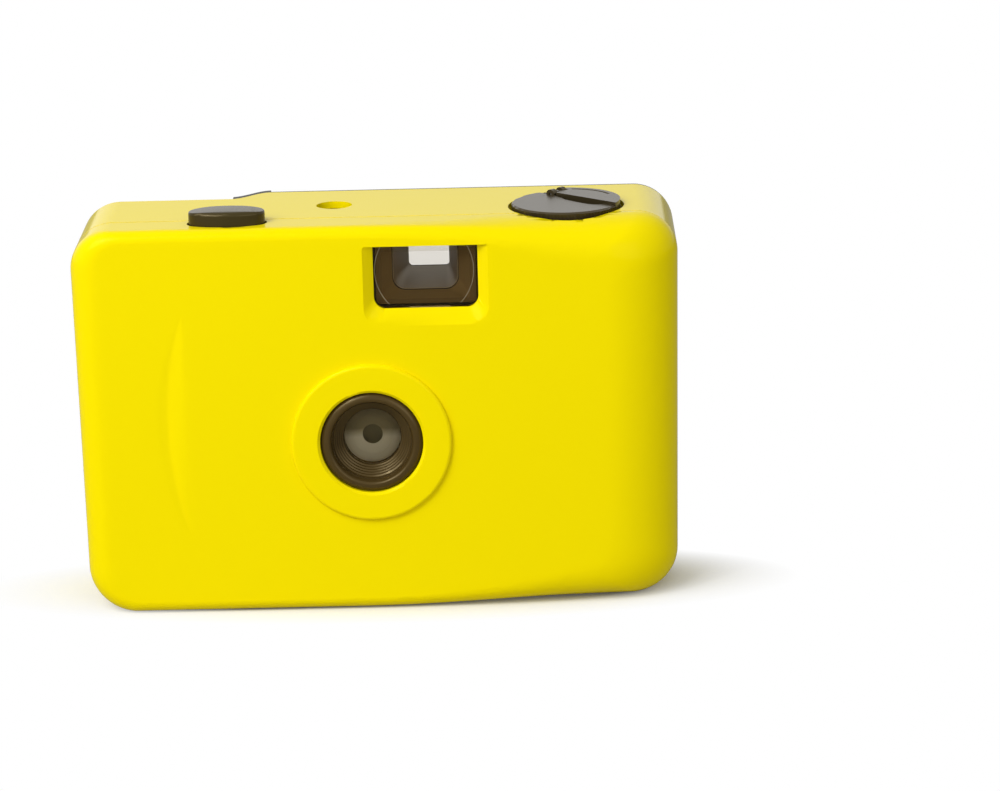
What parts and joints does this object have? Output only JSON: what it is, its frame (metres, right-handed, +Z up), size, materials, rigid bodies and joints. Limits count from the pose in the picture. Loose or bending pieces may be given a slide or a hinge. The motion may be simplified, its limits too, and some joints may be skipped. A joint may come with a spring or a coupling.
{
  "type": "reusable film camera",
  "caption": "Compact focus-free film camera in a two-part yellow shell, with a side-hinged black back, thumb wheel, shutter button, fold-out rewind crank and a round front lens.",
  "frame": {"origin": "middle of the underside, the camera standing upright", "axes": "+Z up, -Y the way the lens looks, +X to the viewer's right when facing the lens"},
  "size_m": [0.1118, 0.036, 0.0757],
  "materials": {
    "yellow_shell": "moulded, glossy",
    "black_moulding": "moulded, fine matt texture",
    "black_gloss": "moulded, satin gloss",
    "lens_clear": "polished",
    "window_clear": "moulded clear, polished",
    "blackened_steel": "blackened sheet",
    "spring_steel": "drawn wire and strip",
    "white_moulding": "moulded, low friction",
    "brass_bush": "turned",
    "plated_screw": "zinc plated"
  },
  "bodies": {
    "camera_body": {"front_cover": "yellow_shell", "rear_shell": "yellow_shell", "film_frame": "black_moulding", "cartridge_cradle": "black_moulding", "spool_cradle": "black_moulding", "chassis_deck": "black_moulding", "chassis_floor": "black_moulding", "lens_bezel": "black_gloss", "front_lens": "lens_clear", "aperture_plate": "blackened_steel", "rear_lens": "lens_clear", "lens_mount": "black_moulding", "counter_window": "window_clear", "finder_front_lens": "window_clear", "finder_tube": "black_moulding", "eyepiece_lens": "window_clear", "hinge_pin": "spring_steel", "chassis_screws": "plated_screw", "wheel_click_spring": "spring_steel", "button_spring": "spring_steel", "shutter_spring": "spring_steel", "latch_spring": "spring_steel", "release_spring": "spring_steel"},
    "button": {"shutter_button": "black_gloss"},
    "release_lever": {"release_lever": "black_moulding"},
    "shutter": {"shutter_blade": "blackened_steel"},
    "rewind_bush": {"rewind_bush": "brass_bush"},
    "rewind_knob": {"rewind_knob": "black_gloss", "rewind_shaft": "black_moulding", "crank_pin": "spring_steel"},
    "rewind_crank": {"rewind_crank": "black_gloss"},
    "take_up": {"thumb_wheel": "black_moulding", "take_up_spool": "black_moulding"},
    "sprocket": {"film_sprocket": "black_moulding", "cocking_cam": "white_moulding"},
    "cocking_lever": {"cocking_lever": "spring_steel"},
    "counter": {"counter_dial": "white_moulding"},
    "door": {"back_door": "black_moulding", "pressure_spring": "spring_steel"},
    "pressure_plate": {"pressure_plate": "blackened_steel"},
    "latch": {"door_latch": "black_moulding"},
    "rewind_release": {"rewind_release_button": "black_gloss"}
  },
  "joints": [
    {"name": "button_press", "type": "slide", "parent": "camera_body", "child": "button", "axis": [0, 0, -1], "range_m": [0, 0.0016], "stiffness_N_per_m": 500, "springref_m": -0.0006, "deforming": ["button_spring"]},
    {"name": "release_rock", "type": "hinge", "parent": "camera_body", "child": "release_lever", "pos_m": [-0.0135, -0.0091, 0.05], "axis": [0, -1, 0], "range_deg": [0, 8]},
    {"name": "shutter_swing", "type": "hinge", "parent": "camera_body", "child": "shutter", "pos_m": [0.009, -0.00815, 0.0398], "axis": [0, 1, 0], "range_deg": [0, 36], "stiffness_Nm_per_rad": 0.002, "springref_deg": -3.44, "deforming": ["shutter_spring"]},
    {"name": "rewind_turn", "type": "hinge", "parent": "camera_body", "child": "rewind_bush", "pos_m": [0.0355, -0.0016, 0.058], "axis": [0, 0, 1], "continuous": true},
    {"name": "rewind_lift", "type": "slide", "parent": "rewind_bush", "child": "rewind_knob", "axis": [0, 0, 1], "range_m": [0, 0.007]},
    {"name": "crank_fold", "type": "hinge", "parent": "rewind_knob", "child": "rewind_crank", "pos_m": [0.03381, 0.00626, 0.0736], "axis": [-0.682, -0.7314, 0], "range_deg": [0, 150]},
    {"name": "wheel_turn", "type": "hinge", "parent": "camera_body", "child": "take_up", "pos_m": [-0.0395, 0.0004, 0.06], "axis": [0, 0, 1], "continuous": true},
    {"name": "sprocket_turn", "type": "hinge", "parent": "camera_body", "child": "sprocket", "pos_m": [-0.0254, 0.0056, 0.0324], "axis": [0, 0, 1], "continuous": true},
    {"name": "counter_turn", "type": "hinge", "parent": "camera_body", "child": "counter", "pos_m": [-0.0134, 0.0031, 0.0689], "axis": [0, 0, 1], "continuous": true},
    {"name": "cocking_swing", "type": "hinge", "parent": "camera_body", "child": "cocking_lever", "pos_m": [-0.0155, -0.002, 0.0571], "axis": [0, 0, -1], "range_deg": [0, 18], "stiffness_Nm_per_rad": 0.002, "springref_deg": -3.44},
    {"name": "door_hinge", "type": "hinge", "parent": "camera_body", "child": "door", "pos_m": [-0.052, 0.01645, 0.0315], "axis": [0, 0, 1], "range_deg": [0, 100]},
    {"name": "pressure_give", "type": "slide", "parent": "door", "child": "pressure_plate", "axis": [0, 1, 0], "range_m": [0, 0.0008], "stiffness_N_per_m": 400, "springref_m": -0.002, "deforming": ["pressure_spring"]},
    {"name": "latch_slide", "type": "slide", "parent": "camera_body", "child": "latch", "axis": [0, 0, -1], "range_m": [0, 0.0035], "stiffness_N_per_m": 150, "springref_m": -0.0008, "deforming": ["latch_spring"]},
    {"name": "rewind_release", "type": "slide", "parent": "camera_body", "child": "rewind_release", "axis": [0, 0, 1], "range_m": [0, 0.0012], "stiffness_N_per_m": 300, "springref_m": -0.0003, "deforming": ["release_spring"]}
  ],
  "couplings": [
    {"joint": "release_rock", "follows": "button_press", "rad_per_m": 76},
    {"joint": "sprocket_turn", "follows": "wheel_turn", "ratio": 0.99},
    {"joint": "counter_turn", "follows": "wheel_turn", "ratio": -0.02475}
  ]
}
